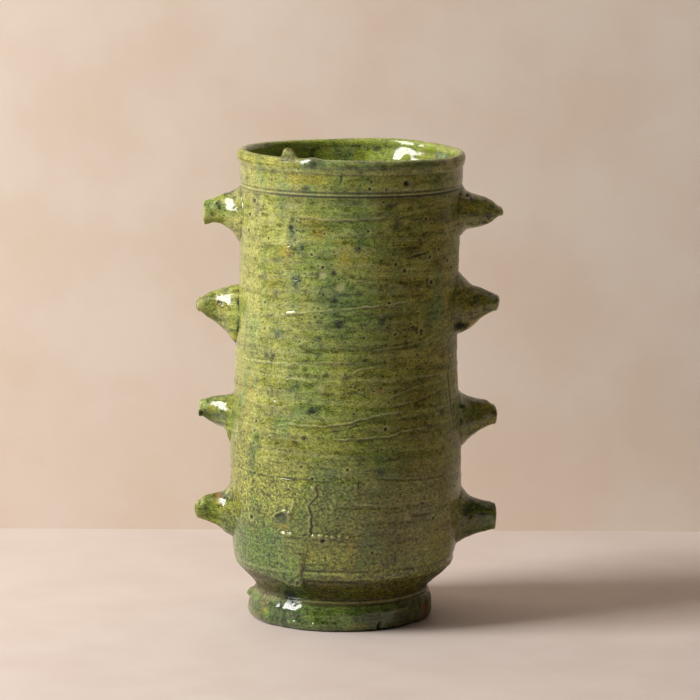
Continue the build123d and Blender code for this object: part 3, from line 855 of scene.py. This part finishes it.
class Horn:
    """One horn.  Its place comes from its CAD node; heights are measured up from that node's lowest point.

    The top and the bottom line are read at STATIONS, fractions of the reach.  The tip has a height,
    and a bluntness (2 is round, more is flatter).  The crack is how dark its root's crease is; the
    argument after it says how thick, and so how dark, its glaze is, and emerald how green it is.
    Shine is the stretch out from the wall where the glaze is glossy; the rest is duller.  Spots are
    blots of colour on the front of the horn: kind, distance from the wall, height above the root's
    bottom line, size, strength.
    """

    STATIONS = (0, 0.16, 0.35, 0.55, 0.72, 0.88)
    TIP_WIDTH = 6.6
    FLARE, FLARE_LENGTH = 4.6, 4.2    # how much wider a root is where it meets the wall, and how far out
    SQUARENESS = 0.92                 # of its section: 1 is an ellipse, less is squarer
    CREASE = 0.1

    def __init__(self, node, top, bottom, tip, bluntness, crack, deep, emerald, shine=(0, 30), spots=()):
        low, high = (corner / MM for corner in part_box(node))
        self.node, self.tip, self.bluntness, self.crack = node, low.z + tip, bluntness, crack
        self.side = 1 if low.x > 0 else -1
        self.deep, self.emerald, self.shine, self.spots = deep, emerald, shine, spots
        self.top = [(part, low.z + height) for part, height in zip(self.STATIONS, top)]
        self.bottom = [(part, low.z + height) for part, height in zip(self.STATIONS, bottom)]
        middle = (low.z + high.z) / 2
        self.x = float(centre_x(middle))
        wall = float(smooth_curve(OUTSIDE, middle))
        self.turn = asin((low.y + high.y) / 2 / wall)
        self.angle = self.side * (90 + degrees(self.turn))
        self.waist = (high.y - low.y) / 2 - 0.4
        self.root = self.waist + self.FLARE
        end = high.x if self.side > 0 else low.x
        self.reach = self.side * (end - self.x) / cos(self.turn) - wall

    def from_wall(self, along, across, z):
        """Points at a distance out from the wall's face, in the horn's own direction.

        Near the wall they follow its curve; further out they stand square to the horn.
        """
        out_x, out_y = self.side * cos(self.turn), sin(self.turn)
        flat = float(smooth_curve(OUTSIDE, self.tip))
        phi = np.radians(self.angle) + self.side * np.arcsin(np.clip(across / flat, -1, 1))
        skin = Skin(phi, z)
        curved = np.sqrt(np.maximum(skin.outside() ** 2 - across ** 2, 1))
        free = fade(along, 0.5, 9)
        distance = curved * (1 - free) + flat * free + along
        middle = centre_x(z) * (1 - free) + self.x * free
        x = middle + out_x * distance - out_y * across * self.side
        y = out_y * distance + cos(self.turn) * across
        return np.stack([x, y, z], -1), skin

    def section(self, part):
        """Half width, half height and middle height at a fraction of the reach."""
        last = self.STATIONS[-1]
        body = np.minimum(part, last)
        top, bottom = smooth_curve(self.top, body), smooth_curve(self.bottom, body)
        past = np.clip((part - last) / (1 - last), 0, 1)
        cap = (1 - past ** self.bluntness) ** (1 / self.bluntness)
        width = self.TIP_WIDTH + (self.waist - self.TIP_WIDTH) * (1 - body) ** 2
        width = width + self.FLARE * np.exp(-np.maximum(body, 0) * self.reach / self.FLARE_LENGTH)
        middle = (top + bottom) / 2
        return width * cap, (top - bottom) / 2 * cap, middle + (self.tip - middle) * past ** 2

    def build(self):
        columns, rows, cap_rows = 150, 100, 26
        last = self.STATIONS[-1]
        start = -0.35 / self.reach
        body = start + (last - start) * np.linspace(0, 1, rows) ** 1.25
        cap = last + (1 - last) * np.sin(np.linspace(0, pi / 2, cap_rows + 1)[1:]) ** 1.2
        part = np.concatenate([body, cap])[:, None]
        width, tall, middle = self.section(part)
        turn = self.side * np.linspace(0, 2 * pi, columns, endpoint=False)[None, :]
        across = width * np.sign(np.cos(turn)) * np.abs(np.cos(turn)) ** self.SQUARENESS
        z = middle + tall * np.sign(np.sin(turn)) * np.abs(np.sin(turn)) ** self.SQUARENESS
        along = part * self.reach + 0 * turn
        points, skin = self.from_wall(along, across, z)
        bumps = 0.45 * lumps(points, 10) + 0.14 * edges(points, 4.2) + 0.03 * lumps(points, 1.8)
        bumps += 0.2 * edges(points, (14, 14, 5))
        normal = outward(points)
        points = points + normal * (fade(along, 0.3, 4) * bumps)[..., None]
        marks = self.glaze_marks(points, along, part, skin)
        for kind, distance, height, size, strength in self.spots:
            spot = np.hypot(along - distance, z - self.bottom[0][1] - height) + 0.6 * edges(points, 2.5)
            in_front = strength * fade(-points[..., 1] + points[..., 1].mean(), -1, 2)
            marks[kind] = np.maximum(marks[kind], in_front * hump(spot, size))
            if kind == "dark":
                marks["matt"] = np.maximum(marks["matt"], in_front * hump(spot, size))
                points -= normal * (0.8 * in_front * hump(spot, 0.8 * size))[..., None]
        depth = hollows(points, False) / self.CREASE
        pooled = 1 if self.side > 0 else 0.5
        marks["crest"] = -depth - 0.5
        marks["hollow"] = np.clip(depth, 0, 1) * fade(along, 2, 7) * pooled
        # The last row is the very tip, which the mesh gets as a single point anyway.
        marks = {kind: value[:-1] for kind, value in marks.items()}
        grid_piece(self.node, points[:-1], marks, glaze)
        self.build_slip()

    def glaze_marks(self, points, along, part, skin):
        """Marks of its own, which take over from the wall's along the root."""
        shaded = self.side > 0
        cracked = 0.7 * self.crack * hump(along - 0.2, 0.6) * fade(patches(points, 7), -0.5, 0.3)
        glossy = fade(along, self.shine[0] - 1.5, self.shine[0] + 0.5)
        glossy = glossy * fade(-along, -self.shine[1] - 2, -self.shine[1] + 1)
        thin_tip = fade(part, 0.6, 0.95) * fade(edges(points, 5), -0.4, 0.4)
        taken = {
            "pale": (0.35 if shaded else 0.6) * thin_tip,
            "teal": (0.6 if shaded else 0.3) * fade(patches.rough(points, (12, 12, 9)), 0.35, 0.6),
            "ochre": 0.6 * fade(patches.rough(points + 50, 11), 0.3, 0.6),
            "green": self.emerald * (0.7 + 0.5 * patches(points, 12)),
            "umber": 0.55 if shaded else 0,
            "deep": self.deep,
            "purple": 0,
            "low": 0,
        }
        own = fade(along, 0, 8)
        marks = {kind: value * own + skin.marks[kind] * (1 - own) for kind, value in taken.items()}
        marks["dark"] = 0.8 * fade(edges.rough(points, 6), 0.6, 0.75) + cracked
        marks["pool_and_shade"] = 0.3 * hump(along, 1)
        marks["matt"] = 0.95 - 0.95 * glossy
        marks["clay"] = np.zeros(along.shape)
        return marks

    def build_slip(self):
        """The pad of slip under the horn: it squeezes out a little along the crease."""
        columns, rows = 120, 22
        width, tall, middle = (float(value) for value in self.section(np.array(0.0)))
        turn = -self.side * np.linspace(0, 2 * pi, columns, endpoint=False)[None, :]
        out = np.linspace(0.04, 1, rows)
        reach = np.concatenate([out, out[::-1]])[:, None]
        sunk = 0.3                    # into the wall
        face = np.concatenate([SLIP * (1 - out ** 8) - sunk, np.full(rows, -sunk - SLIP)])[:, None]
        circle = np.stack([30 * np.cos(turn), 30 * np.sin(turn), 0 * turn + middle], -1)
        margin = -0.5 + 0.6 * edges(circle, 5)
        across = reach * (width + margin) * np.cos(turn)
        z = middle + reach * (tall + margin) * np.sin(turn)
        points, _ = self.from_wall(face + 0 * turn, across, z)
        marks = {"dark": np.full(z.shape, 0.5 * self.crack)}
        grid_piece("slip_" + self.node, points, marks, slip_clay)


HORNS = [
    Horn("horn_left_1", (34.1, 31.3, 29.4, 27.5, 25.9, 24.5), (-2.5, 2, 5.7, 8.5, 9.1, 8.1), 15.5, 3.6,
         crack=0.5, deep=0, emerald=0.1, shine=(0, 9),
         spots=[("dark", 2, 22, 1, 1), ("dark", 1, 14, 1, 1), ("dark", 15, 25, 0.7, 0.6),
                ("teal", 14, 25, 2, 0.5)]),
    Horn("horn_left_2", (35.3, 34.7, 33.2, 31.2, 29.4, 26.9), (-2.2, 1.7, 6.4, 10.8, 13.4, 17.1), 22.3, 2.2,
         crack=1, deep=0.05, emerald=0.1, shine=(5, 13),
         spots=[("teal", 10, 26, 2.5, 0.9), ("dark", 12, 27, 0.8, 0.8), ("teal", 3, 10, 2, 0.7)]),
    Horn("horn_left_3", (29.9, 29.2, 28.4, 27.6, 26.9, 25.9), (-1.1, 5.7, 8.1, 10.1, 12.4, 14.5), 19.1, 4.5,
         crack=0.2, deep=0.3, emerald=0.5, shine=(4, 13),
         spots=[("teal", 19, 17, 2.5, 0.45), ("dark", 16, 26, 0.9, 0.8), ("teal", 6, 17, 4, 0.7)]),
    Horn("horn_left_4", (34.5, 30.4, 29.1, 28.1, 26.8, 23.5), (0.5, 3.1, 7.2, 9.5, 11, 12.5), 18.5, 2.4,
         crack=0.3, deep=0.4, emerald=0.8, shine=(0, 7),
         spots=[("clay", 8, 27, 1.5, 0.7), ("ochre", 10, 25, 3, 0.8), ("teal", 4, 28, 4, 0.8),
                ("teal", 17, 18, 3, 0.6)]),
    Horn("horn_right_1", (33, 29.5, 27.1, 25.1, 23, 20.4), (0.3, 4.7, 5.5, 6.9, 9.1, 12.7), 15.2, 1.9,
         crack=0.45, deep=0, emerald=0.2,
         spots=[("dark", 4, 27, 1.3, 0.9), ("dark", 15, 9, 1.4, 0.8), ("dark", 20, 20, 1, 0.7)]),
    Horn("horn_right_2", (39.9, 35.7, 31.4, 29.7, 28, 25.9), (-0.3, 1.9, 5.1, 9.9, 12.4, 14.2), 19.9, 2.5,
         crack=0.4, deep=0.1, emerald=0,
         spots=[("dark", 3, 6.5, 3.2, 1.4), ("dark", 17, 17, 1.2, 0.8), ("ochre", 12, 19, 4, 0.7)]),
    Horn("horn_right_3", (34.5, 30.7, 28.8, 27.6, 27.1, 24.8), (-2.5, 1, 4.3, 7.2, 9.5, 11.2), 17, 2.8,
         crack=0.5, deep=0.3, emerald=0.2,
         spots=[("dark", 1, 28, 1.4, 1), ("dark", 1, 20, 1.2, 0.8)]),
    Horn("horn_right_4", (38.2, 34.1, 31.7, 30.1, 29, 27.7), (1.4, 4.2, 6.7, 8.5, 9.4, 10.4), 18.4, 3,
         crack=0.5, deep=0.65, emerald=0.6,
         spots=[("dark", 5, 24, 4, 0.7), ("green", 8, 8, 5, 0.6)]),
]
# The nub's outline, as (distance out from its middle, height), both as fractions.
NUB_RISE = [(0, 1), (0.2, 0.98), (0.4, 0.86), (0.55, 0.6), (0.7, 0.27), (0.85, 0.07), (1, 0)]


def rim_nub():
    """The lump on the rim: steep on the left, drawn out along the crest on the right."""
    low, high = (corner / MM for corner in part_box("rim_nub"))
    middle, half = (low + high) / 2, (high - low) / 2
    columns, rows = 80, 40
    out = np.linspace(1, 0, rows + 1)[:-1, None]
    turn = np.linspace(0, 2 * pi, columns, endpoint=False)[None, :]
    side = np.cos(turn)
    height = high.z - CREST - 0.8
    crest_turn = atan2(-middle.x, -middle.y)
    along = half.x * (1.35 + 0.85 * fade(side, -0.2, 1) * out) * out * side
    across = half.y * out * np.sin(turn) * (0.8 + 0.25 * np.sin(turn))
    x = along * cos(crest_turn) + across * sin(crest_turn)
    y = across * cos(crest_turn) - along * sin(crest_turn)
    z = CREST - 1.7 * out ** 3 + height * smooth_curve(NUB_RISE, out) * (1 - 0.06 * side * out)
    narrow, sunk = 0.7, 1.5            # its foot is drawn in, and down into the rim
    foot_row = np.stack([narrow * x[0], narrow * y[0], z[0] - sunk], -1)[None]
    points = np.concatenate([foot_row, np.stack([x, y, z], -1)]) + np.array([middle.x, middle.y, 0])
    bumps = 0.35 * lumps(points, 5) + 0.12 * edges(points, 2)
    points[1:] += (outward(points) * bumps[..., None])[1:]
    marks = {"umber": 0.4, "purple": 0.6, "matt": 1}
    marks = {kind: np.full(bumps.shape, value) for kind, value in marks.items()}
    marks["hollow"] = hollows(points, False) / Horn.CREASE
    marks["dark"] = 0.5 * fade(edges.rough(points, 3), 0.45, 0.6)
    grid_piece("rim_nub", points, marks, glaze)

# ---- Materials ---------------------------------------------------------------------------------------


class Signal:
    """A node's output.  Adding, subtracting or multiplying it makes the math node that does so."""

    def __init__(self, tree, socket):
        self.tree, self.socket = tree, socket

    def __add__(self, other):
        return self.tree.math("ADD", self, other)

    def __sub__(self, other):
        return self.tree.math("SUBTRACT", self, other)

    def __rsub__(self, other):
        return self.tree.math("SUBTRACT", other, self)

    def __mul__(self, other):
        return self.tree.math("MULTIPLY", self, other)

    __radd__, __rmul__ = __add__, __mul__

    def clamped(self):
        """Keeps the last sum or product between 0 and 1."""
        self.socket.node.use_clamp = True
        return self


class Tree:
    """Short calls for building a material's nodes.  Numbers, colours and signals may be mixed freely."""

    def __init__(self, name):
        self.material = bpy.data.materials.new(name)
        self.material.use_nodes = True
        self.nodes, self.links = self.material.node_tree.nodes, self.material.node_tree.links
        self.shader = self.nodes["Principled BSDF"]
        place = self.node("ShaderNodeTexCoord", output="Object")
        self.place = self.node("ShaderNodeVectorMath", {0: place, "Scale": 1 / MM}, operation="SCALE")

    def node(self, kind, inputs=None, output=0, **settings):
        node = self.nodes.new(kind)
        for name, value in settings.items():
            setattr(node, name, value)
        self.feed(node, inputs or {})
        return Signal(self, node.outputs[output])

    def feed(self, node, inputs):
        for name, value in inputs.items():
            if isinstance(value, Signal):
                self.links.new(value.socket, node.inputs[name])
            elif node.inputs[name].type == "RGBA":
                node.inputs[name].default_value = (*value, 1)
            else:
                node.inputs[name].default_value = value

    def math(self, operation, a, b):
        return self.node("ShaderNodeMath", {0: a, 1: b}, operation=operation)

    def maximum(self, a, b):
        return self.math("MAXIMUM", a, b)

    def mark(self, name):
        return self.node("ShaderNodeAttribute", output="Fac", attribute_name=name)

    def noise(self, size, detail=3, rough=0.55, stretch=None, twist=0):
        """Noise of about this size in millimetres, from 0 to 1."""
        place = self.place
        if stretch:
            place = self.node("ShaderNodeVectorMath", {0: place, 1: stretch}, operation="MULTIPLY")
        inputs = {"Vector": place, "Scale": 1 / size, "Detail": detail, "Roughness": rough}
        inputs["Distortion"] = twist
        return self.node("ShaderNodeTexNoise", inputs, "Fac")

    def cells(self, size):
        """Distance to the nearest of many scattered points, in cells of this size."""
        return self.node("ShaderNodeTexVoronoi", {"Vector": self.place, "Scale": 1 / size}, "Distance")

    def between(self, value, start, end, low=0, high=1):
        """low before start, high after end, and smooth between."""
        inputs = {"Value": value, "From Min": start, "From Max": end, "To Min": low, "To Max": high}
        return self.node("ShaderNodeMapRange", inputs, interpolation_type="SMOOTHSTEP")

    def mix(self, share, first, second, blend="MIX"):
        """Colours mixed.  The node's colour sockets are numbers 6 and 7, and 2 on its output side."""
        inputs = {0: share, 6: first, 7: second}
        return self.node("ShaderNodeMix", inputs, 2, data_type="RGBA", blend_type=blend)

    def layers(self, colour, *coats):
        """Coats of (share, paint) laid over a colour."""
        for share, paint in coats:
            colour = self.mix(share, colour, paint)
        return colour

    def grey(self, value):
        return self.node("ShaderNodeCombineColor", {0: value, 1: value, 2: value})

    def bump(self, height, strength=1):
        """A bump from a height in millimetres."""
        return self.node("ShaderNodeBump", {"Height": height, "Distance": MM, "Strength": strength})


LIME = (0.38, 0.40, 0.10)
GREEN = (0.27, 0.295, 0.060)
OLIVE = (0.155, 0.165, 0.022)
EMERALD = (0.135, 0.235, 0.060)
TEAL = (0.030, 0.085, 0.055)
INK = (0.010, 0.013, 0.011)
OCHRE = (0.35, 0.275, 0.025)
UMBER = (0.175, 0.140, 0.010)
CREAM = (0.55, 0.56, 0.24)
THIN_PURPLE = (0.23, 0.20, 0.13)
# Brown of glaze pooled in hollows, also used for painted shadows under ridges and the ledge.
POOL_AND_SHADE_BROWN = (0.050, 0.050, 0.012)
TERRACOTTA = (0.40, 0.19, 0.10)
DARK_TERRACOTTA = (0.26, 0.11, 0.06)
INNER_GREEN = (0.24, 0.31, 0.025)
SLIP_BROWN = (0.07, 0.045, 0.025)
PALE_SLIP = (0.15, 0.10, 0.055)


def glaze_material():
    """A runny copper-green lead glaze over earthenware: mottled, streaked, pinholed and glossy."""
    t = Tree("copper_green_glaze")
    cloud = t.noise(36, 3, 0.5, twist=0.6)
    runs = t.noise(13, 4, 0.55, (1, 1, 0.42), 0.5)
    blotch = t.noise(5.5, 4, 0.65)
    grain = t.noise(1, 3, 0.7, (0.6, 0.6, 1))
    streaks = t.noise(9, 5, 0.65, (0.14, 0.14, 1.9))
    mottle = t.noise(4.5, 7, 0.78, (0.7, 0.7, 1.15))
    stipple = t.noise(1.7, 4, 0.62, (0.8, 0.8, 1))
    low = t.mark("low")
    streaks = streaks + (stipple - streaks) * low
    mottle = mottle + (stipple - mottle) * (0.55 * low)
    clay, purple, matt, deep = t.mark("clay"), t.mark("purple"), t.mark("matt"), t.mark("deep")
    green, umber = t.mark("green"), t.mark("umber")

    # The glaze's own colours, then those of its zones and blots.
    tone = 0.22 * cloud + 0.34 * streaks + 0.44 * mottle
    spots = t.between(t.noise(11, 4, 0.65, (1, 1, 0.8)), 0.62, 0.70, 0, 0.5)
    teal = t.maximum(t.mark("teal"), spots)
    colour = t.layers(
        OLIVE,
        (t.between(tone, 0.41, 0.50), GREEN),
        (t.between(tone, 0.485, 0.575), LIME),
        (t.between(runs, 0.50, 0.64, 0, 0.55), EMERALD),
        (t.between(blotch, 0.56, 0.70, 0, 0.5), OCHRE),
        (umber * t.between(streaks, 0.35, 0.6, 0.55, 1), UMBER),
        ((green * t.between(mottle, 0.35, 0.62, 0.45, 1.1)).clamped(), EMERALD),
        (t.mark("ochre") * t.between(grain, 0.2, 0.6, 0.4, 1), OCHRE),
        (t.mark("inside") * t.between(blotch, 0.35, 0.6, 0.95, 0.45), INNER_GREEN),
        (purple * t.between(streaks, 0.3, 0.6, 0.5, 1), THIN_PURPLE),
        (teal * t.between(mottle, 0.38, 0.56, 1, 0.45), TEAL),
    )

    # Lighter and darker where it was brushed on, in its grain, and where it is thick; the same darkening
    # paints shade on the bowl under the body's hem and under the ledges.
    zoned = t.maximum(umber, t.maximum(green, deep))
    brushed = t.between(0.45 * streaks + 0.55 * mottle, 0.41, 0.60, 0.52, 1.42)
    colour = t.mix(zoned, colour, t.grey(brushed), "MULTIPLY")
    colour = t.mix(1, colour, t.grey(t.between(grain, 0.34, 0.66, 0.66, 1.34)), "MULTIPLY")
    freckles = t.maximum(t.between(t.cells(1.5), 0.15, 0.29, 1, 0), t.between(t.cells(3.2), 0.11, 0.20, 1, 0))
    specks = freckles * t.between(t.noise(15, 3, 0.6), 0.38, 0.58, 0.4, 1)
    thickness_and_shade = 1 + 0.75 * deep + 0.85 * specks + t.between(mottle, 0.38, 0.47, 0.3, 0)
    colour = t.node("ShaderNodeGamma", {"Color": colour, "Gamma": thickness_and_shade})

    # Thin on ridges, pooled in hollows, black in holes, and gone where the clay is bare; the pale also holds
    # painted highlights on ridges, glaze drops, the flap's edge and the foot's top ridge, the pooled brown
    # holds painted shadows under ridges and the ledge, and the black a painted contact shadow along the
    # foot's bottom edge.
    thin_glaze_and_highlight = (t.mark("pale") + 0.25 * t.mark("crest")).clamped() * t.between(grain, 0.25, 0.55, 0.4, 1)
    sunk = (t.mark("pool_and_shade") + 0.5 * t.mark("hollow")).clamped()
    hole = t.between(t.cells(7), 0.06, 0.10, 1, 0)
    colour = t.layers(
        colour,
        (0.8 * thin_glaze_and_highlight, CREAM),
        (0.8 * sunk, POOL_AND_SHADE_BROWN),
        (0.93 * t.maximum(t.mark("dark"), hole), INK),
        (clay, t.mix(grain, TERRACOTTA, DARK_TERRACOTTA)),
    )

    rough = t.between(0.5 * cloud + 0.5 * blotch, 0.4, 0.62, 0.34, 0.55)
    rough = ((rough + 0.35 * clay).clamped() + 0.25 * matt).clamped()
    bare = t.maximum(t.maximum(clay, 0.3 * purple), 0.75 * matt)
    drag = 0.10 * streaks + 0.08 * t.noise(2.4, 3, 0.5, (0.2, 0.2, 1.6))
    height = 0.10 * grain + 0.10 * blotch + drag - 0.16 * t.maximum(hole, specks)
    t.feed(t.shader, {
        "Base Color": colour,
        "Roughness": rough,
        "IOR": 1.5,
        "Specular IOR Level": 0.15,
        "Normal": t.bump(height),
        "Coat Weight": (0.8 - bare).clamped(),
        "Coat Roughness": 0.06,
        "Coat IOR": 1.65,
        "Coat Normal": t.bump(height, 0.28),
    })
    return t.material


def slip_material():
    """Luting slip: fired brown, gritty, and stained by the glaze that ran into it."""
    t = Tree("brown_luting_slip")
    grain, stain = t.noise(0.9, 3, 0.6), t.noise(6, 3, 0.6)
    colour = t.layers(
        SLIP_BROWN,
        (t.between(grain, 0.3, 0.7), PALE_SLIP),
        (t.between(stain, 0.45, 0.6, 0, 0.8), OLIVE),
        (t.mark("dark"), INK),
    )
    rough = t.between(stain, 0.3, 0.7, 0.3, 0.6)
    t.feed(t.shader, {"Base Color": colour, "Roughness": rough, "Normal": t.bump(0.2 * grain)})
    return t.material


def studio_material(name, colour, other, size):
    """A plain studio surface, very slightly uneven."""
    t = Tree(name)
    uneven = t.mix(t.between(t.noise(size, 4), 0.3, 0.7), colour, other)
    t.feed(t.shader, {"Base Color": uneven, "Roughness": 0.6, "Specular IOR Level": 0.2})
    return t


glaze = glaze_material()
slip_clay = slip_material()

# ---- The pieces --------------------------------------------------------------------------------------

RECESS_EDGE, RECESS_TOP = 45.0, 41.5
bowl_lap = Lap(BOWL_JOINT, shoulder.radius - WALL / 2)
body_lap = Lap(BODY_JOINT, belt.radius - WALL / 2)
rim_lap = Lap(RIM_JOINT, groove.radius - WALL / 2)


def foot_ring():
    ring = Outline()
    ring.outer(0, FOOT_JOINT, 0.4)
    for height in (FOOT_JOINT, waist.bottom):
        ring.outer(height, height, depth=GLAZE_COVER)
    recess = [(RECESS_TOP, waist.bottom), (RECESS_EDGE - 1.2, 6), (RECESS_EDGE, 0.6)]
    under = [(RECESS_EDGE + 1, 0), (foot.radius - 6, 0)]
    ring.plain(*recess, *under, clay=1.0)
    ring.build("foot_ring")


def foot_slip():
    ring = Outline(SLIP_COLUMNS)
    ring.outer(waist.bottom, waist.top, SLIP, GLAZE_COVER)
    ring.plain((RECESS_TOP, waist.top), (RECESS_TOP, waist.bottom))
    ring.build("slip_foot", slot="luting_slip", material=slip_clay)


def lower_bowl():
    bowl = Outline()
    bowl.plain((4, waist.top), (20, waist.top), (RECESS_TOP, waist.top), clay=1.0)
    for height in (waist.top, FOOT_JOINT):
        bowl.outer(height, height, depth=GLAZE_COVER)
    bowl.outer(FOOT_JOINT, BOWL_JOINT, 0.5)
    bowl_lap.close_top(bowl)
    bowl.inner(BOWL_JOINT + LAP, FLOOR_TOP, 1.2)
    floor = np.array([0.8, 0.6, 0.4, 0.2, 0.05])[:, None] * FLOOR_RADIUS
    bowl.add(floor, FLOOR_TOP - 0.3 + 0.3 * np.sin(floor[:, 0] / 2), inside=1.0)
    bowl.build("lower_bowl", ring=False)


def wall_piece(node, lower, upper):
    """A body section between two lapped joints."""
    piece = Outline()
    piece.outer(lower.height, upper.height, ROW_STEP)
    upper.close_top(piece)
    piece.inner(upper.height + LAP, lower.height + LAP, 5)
    lower.close_bottom(piece)
    piece.build(node)


def rim_collar():
    piece = Outline()
    piece.outer(RIM_JOINT, LIP_HEIGHT, 0.4)
    piece.rolled_lip()
    piece.inner(LIP_HEIGHT, RIM_JOINT + LAP, 1)
    rim_lap.close_bottom(piece)
    piece.build("rim_collar")


foot_ring()
foot_slip()
lower_bowl()
bowl_lap.slip("slip_bowl")
wall_piece("body_lower", bowl_lap, body_lap)
body_lap.slip("slip_body")
wall_piece("body_upper", body_lap, rim_lap)
rim_lap.slip("slip_rim")
rim_collar()
for horn in HORNS:
    horn.build()
rim_nub()

# ---- Floor, backdrop, light and camera, in metres ----------------------------------------------------

FLOOR_REACH = 6.0
WALL_Y, WALL_HALF, WALL_TOP = 0.278, 1.2, 1.3
FLOOR_COLOURS = (0.635, 0.55, 0.505), (0.60, 0.51, 0.465)
WALL_COLOURS = (0.80, 0.70, 0.61), (0.76, 0.63, 0.52)
AIM = Vector((0, 0, 0.15))
WORLD_COLOUR, WORLD_STRENGTH = (1.0, 0.98, 0.96, 1), 0.033
CAMERA_PLACE = Vector((0.0058, -2.350, 0.515))
CAMERA_PITCH, CAMERA_ROLL = 8.31, 0.26    # degrees, the pitch below level
CAMERA_LENS = 190.8


def stage_plane(name, corners, material):
    mesh = bpy.data.meshes.new(name)
    mesh.from_pydata(corners, [], [(0, 1, 2, 3)])
    mesh.materials.append(material)
    plane = bpy.data.objects.new(name, mesh)
    bpy.context.scene.collection.objects.link(plane)


def one_sided(t):
    """Makes the back of a surface clear, so the vase can be looked at through it from behind."""
    backface = t.node("ShaderNodeNewGeometry", output="Backfacing")
    clear = t.node("ShaderNodeBsdfTransparent")
    both = t.node("ShaderNodeMixShader", {0: backface, 1: Signal(t, t.shader.outputs[0]), 2: clear})
    t.feed(t.nodes["Material Output"], {"Surface": both})
    return t.material


def area_light(name, azimuth, elevation, distance, width, height, watts, colour):
    """A window of light, seen from the vase at an angle left (-) or right (+) of the camera's side."""
    turn, rise = radians(azimuth), radians(elevation)
    towards = Vector((sin(turn) * cos(rise), -cos(turn) * cos(rise), sin(rise)))
    data = bpy.data.lights.new(name, "AREA")
    data.shape, data.size, data.size_y = "RECTANGLE", width, height
    data.energy, data.color = watts, colour
    light = bpy.data.objects.new(name, data)
    light.location = AIM + towards * distance
    light.rotation_euler = towards.to_track_quat("Z", "Y").to_euler()
    bpy.context.scene.collection.objects.link(light)


def add_camera():
    data = bpy.data.cameras.new("camera")
    data.sensor_width, data.lens = 36, CAMERA_LENS
    camera = bpy.data.objects.new("camera", data)
    tilt = Matrix.Rotation(radians(90 - CAMERA_PITCH), 4, "X") @ Matrix.Rotation(radians(CAMERA_ROLL), 4, "Z")
    camera.matrix_world = Matrix.Translation(CAMERA_PLACE) @ tilt
    bpy.context.scene.collection.objects.link(camera)
    bpy.context.scene.camera = camera


stage_plane(
    "floor",
    [(-FLOOR_REACH, -FLOOR_REACH, 0), (FLOOR_REACH, -FLOOR_REACH, 0),
     (FLOOR_REACH, FLOOR_REACH, 0), (-FLOOR_REACH, FLOOR_REACH, 0)],
    studio_material("pale_floor", *FLOOR_COLOURS, 60).material,
)
stage_plane(
    "backdrop",
    [(-WALL_HALF, WALL_Y, 0), (WALL_HALF, WALL_Y, 0),
     (WALL_HALF, WALL_Y, WALL_TOP), (-WALL_HALF, WALL_Y, WALL_TOP)],
    one_sided(studio_material("pale_backdrop", *WALL_COLOURS, 90)),
)
area_light("key_softbox", -72, 35, 2.2, 0.9, 1.6, 72, (1.0, 0.985, 0.96))
area_light("ceiling_bounce", 0, 84, 1.7, 2.2, 2.2, 6.5, (1.0, 0.84, 0.70))
world = bpy.data.worlds.new("studio")
world.use_nodes = True
world.node_tree.nodes["Background"].inputs["Color"].default_value = WORLD_COLOUR
world.node_tree.nodes["Background"].inputs["Strength"].default_value = WORLD_STRENGTH
bpy.context.scene.world = world
bpy.context.scene.view_settings.view_transform = "Standard"
add_camera()
